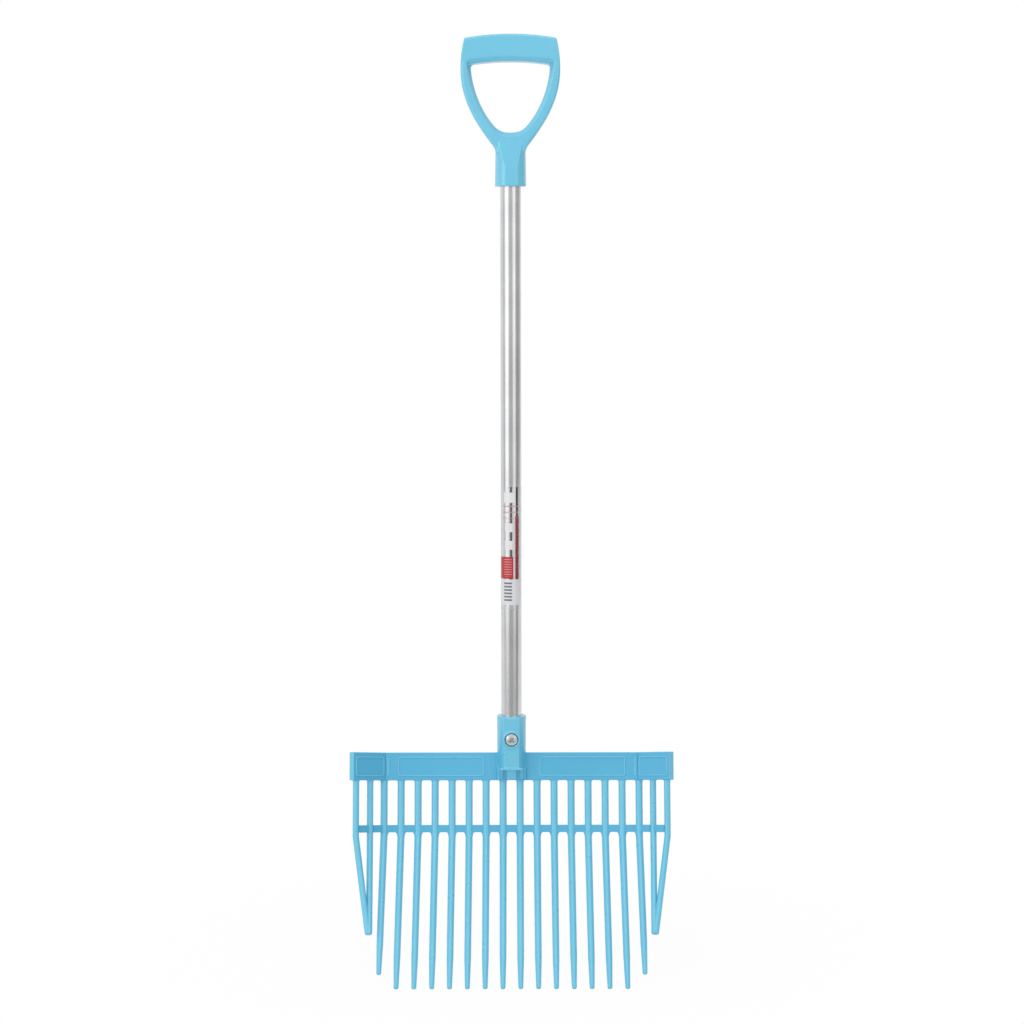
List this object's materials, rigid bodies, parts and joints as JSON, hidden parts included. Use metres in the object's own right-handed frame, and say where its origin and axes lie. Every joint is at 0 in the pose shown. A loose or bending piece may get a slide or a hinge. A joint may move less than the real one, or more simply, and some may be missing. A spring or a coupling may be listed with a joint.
{
  "type": "manure fork",
  "caption": "Basket fork for sifting stable bedding: moulded plastic head with folded wings and long forward tines, aluminium tube shaft and D-grip.",
  "frame": {"origin": "under the middle of the grip's hand bar, where the fork hangs on a peg", "axes": "+Z along the shaft towards the grip, +X across the head to the viewer's right, the scoop side faces -Y"},
  "size_m": [0.4432, 0.2101, 1.2574],
  "materials": {
    "blue_plastic": "sky-blue moulded plastic, half gloss",
    "tube_metal": "drawn tube, satin",
    "zinc_steel": "bright zinc plate",
    "clear_film": "clear film with plain printed blocks"
  },
  "bodies": {
    "root": {"head_socket": "blue_plastic", "bar_left": "blue_plastic", "bar_right": "blue_plastic", "wing_left": "blue_plastic", "wing_right": "blue_plastic", "wall_bars": "blue_plastic", "cross_rail": "blue_plastic", "tine_01": "blue_plastic", "tine_02": "blue_plastic", "tine_03": "blue_plastic", "tine_04": "blue_plastic", "tine_05": "blue_plastic", "tine_06": "blue_plastic", "tine_07": "blue_plastic", "tine_08": "blue_plastic", "tine_09": "blue_plastic", "tine_10": "blue_plastic", "tine_11": "blue_plastic", "tine_12": "blue_plastic", "tine_13": "blue_plastic", "tine_14": "blue_plastic", "tine_15": "blue_plastic", "tine_16": "blue_plastic", "wing_tines_left": "blue_plastic", "wing_tines_right": "blue_plastic", "d_grip": "blue_plastic", "shaft_tube": "tube_metal", "head_bolt": "zinc_steel", "head_nut": "zinc_steel", "grip_screw": "zinc_steel", "label_film": "clear_film"}
  },
  "joints": []
}
